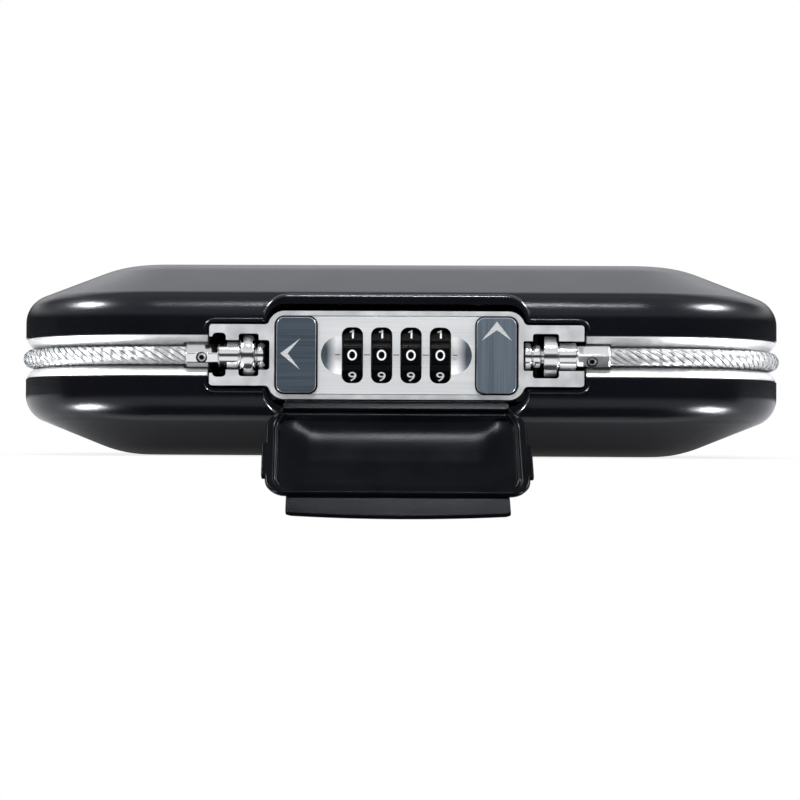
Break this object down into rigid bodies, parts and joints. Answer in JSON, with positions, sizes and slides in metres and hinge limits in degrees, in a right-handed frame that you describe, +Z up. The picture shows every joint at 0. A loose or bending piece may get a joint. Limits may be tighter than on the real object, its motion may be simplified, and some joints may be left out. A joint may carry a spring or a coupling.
{
  "type": "portable car safe",
  "caption": "Flat rounded lock box with a dial combination lock, a steel tether cable round its seam and a rubber lock cover",
  "frame": {"origin": "centre of the flat underside of the base shell", "axes": "+X to the right seen from the lock, +Y from the lock to the hinges, +Z up through the lid"},
  "size_m": [0.2436, 0.2061, 0.0802],
  "materials": {
    "shell": "black moulded polymer, satin with a fine texture",
    "channel_frame": "satin silver channel",
    "foam": "soft charcoal foam",
    "cast_housing": "cast and polished light grey metal",
    "dial_plate": "bright metal brushed from side to side",
    "cable_plug": "polished chrome",
    "cable": "steel wire rope under a clear skin",
    "code_dial": "black with white numerals",
    "button_cap": "slate blue-grey brushed metal with a bright bevelled edge",
    "rubber": "black satin rubber",
    "screw": "plain steel",
    "spring": "spring wire",
    "lock_steel": "zinc-plated pressed steel"
  },
  "bodies": {
    "base": {"base_shell": "shell", "base_frame": "channel_frame", "base_foam": "foam", "lock_housing": "cast_housing", "dial_plate": "dial_plate", "dial_axle": "lock_steel", "detent_comb": "lock_steel", "fence_bar": "lock_steel", "lock_back_cover": "lock_steel", "back_cover_screw_lower_left": "screw", "back_cover_screw_upper_left": "screw", "back_cover_screw_lower_right": "screw", "back_cover_screw_upper_right": "screw", "tether_cable": "cable", "cable_plug_left": "cable_plug", "cable_plug_right": "cable_plug", "set_screw_left": "screw", "set_screw_right": "screw", "cable_anchor_pin": "lock_steel", "cover_root_strip": "rubber", "housing_screw_left": "screw", "housing_screw_right": "screw", "base_hinge_left": "lock_steel", "base_hinge_right": "lock_steel", "hinge_pin_left": "lock_steel", "hinge_pin_right": "lock_steel", "base_hinge_screw_left_outer": "screw", "base_hinge_screw_left_inner": "screw", "base_hinge_screw_right_outer": "screw", "base_hinge_screw_right_inner": "screw"},
    "lid": {"lid_shell": "shell", "lid_frame": "channel_frame", "lid_foam": "foam", "lid_strike": "lock_steel", "strike_screw_left": "screw", "strike_screw_right": "screw", "lid_hinge_left": "lock_steel", "lid_hinge_right": "lock_steel", "lid_hinge_screw_left_outer": "screw", "lid_hinge_screw_left_inner": "screw", "lid_hinge_screw_right_outer": "screw", "lid_hinge_screw_right_inner": "screw"},
    "dial_1": {"code_dial_1": "code_dial"},
    "dial_2": {"code_dial_2": "code_dial"},
    "dial_3": {"code_dial_3": "code_dial"},
    "dial_4": {"code_dial_4": "code_dial"},
    "release_button": {"release_button_cap": "button_cap", "release_button_slider": "lock_steel"},
    "open_button": {"open_button_cap": "button_cap", "open_button_slider": "lock_steel", "open_button_spring": "spring"},
    "cable_bolt": {"cable_bolt": "lock_steel", "release_spring": "spring"},
    "latch_bolt": {"latch_bolt": "lock_steel"},
    "reset_slide": {"code_reset_slide": "lock_steel"},
    "cover_flap": {"dial_cover": "rubber"}
  },
  "joints": [
    {"name": "lid_hinge", "type": "hinge", "parent": "base", "child": "lid", "pos_m": [0, 0.088, 0.0395], "axis": [-1, 0, 0], "range_deg": [0, 100]},
    {"name": "dial_1_turn", "type": "hinge", "parent": "base", "child": "dial_1", "pos_m": [-0.0132, -0.0801, 0.0305], "axis": [1, 0, 0], "continuous": true},
    {"name": "dial_2_turn", "type": "hinge", "parent": "base", "child": "dial_2", "pos_m": [-0.0044, -0.0801, 0.0305], "axis": [1, 0, 0], "continuous": true},
    {"name": "dial_3_turn", "type": "hinge", "parent": "base", "child": "dial_3", "pos_m": [0.0044, -0.0801, 0.0305], "axis": [1, 0, 0], "continuous": true},
    {"name": "dial_4_turn", "type": "hinge", "parent": "base", "child": "dial_4", "pos_m": [0.0132, -0.0801, 0.0305], "axis": [1, 0, 0], "continuous": true},
    {"name": "release_button_slide", "type": "slide", "parent": "base", "child": "release_button", "axis": [-1, 0, 0], "range_m": [0, 0.003], "stiffness_N_per_m": 300},
    {"name": "open_button_slide", "type": "slide", "parent": "base", "child": "open_button", "axis": [0, 0, 1], "range_m": [0, 0.003], "stiffness_N_per_m": 300, "deforming": ["open_button_spring"]},
    {"name": "cable_bolt_slide", "type": "slide", "parent": "base", "child": "cable_bolt", "axis": [0, 0, -1], "range_m": [0, 0.002], "deforming": ["release_spring"]},
    {"name": "latch_bolt_slide", "type": "slide", "parent": "base", "child": "latch_bolt", "axis": [-1, 0, 0], "range_m": [0, 0.003]},
    {"name": "reset_slide_travel", "type": "slide", "parent": "base", "child": "reset_slide", "axis": [1, 0, 0], "range_m": [0, 0.005]},
    {"name": "cover_hinge", "type": "hinge", "parent": "base", "child": "cover_flap", "pos_m": [0, -0.0919, 0.0149], "axis": [-1, 0, 0], "range_deg": [0, 142]}
  ],
  "couplings": [
    {"joint": "cable_bolt_slide", "follows": "release_button_slide", "ratio": 0.66667},
    {"joint": "latch_bolt_slide", "follows": "open_button_slide", "ratio": 1}
  ]
}
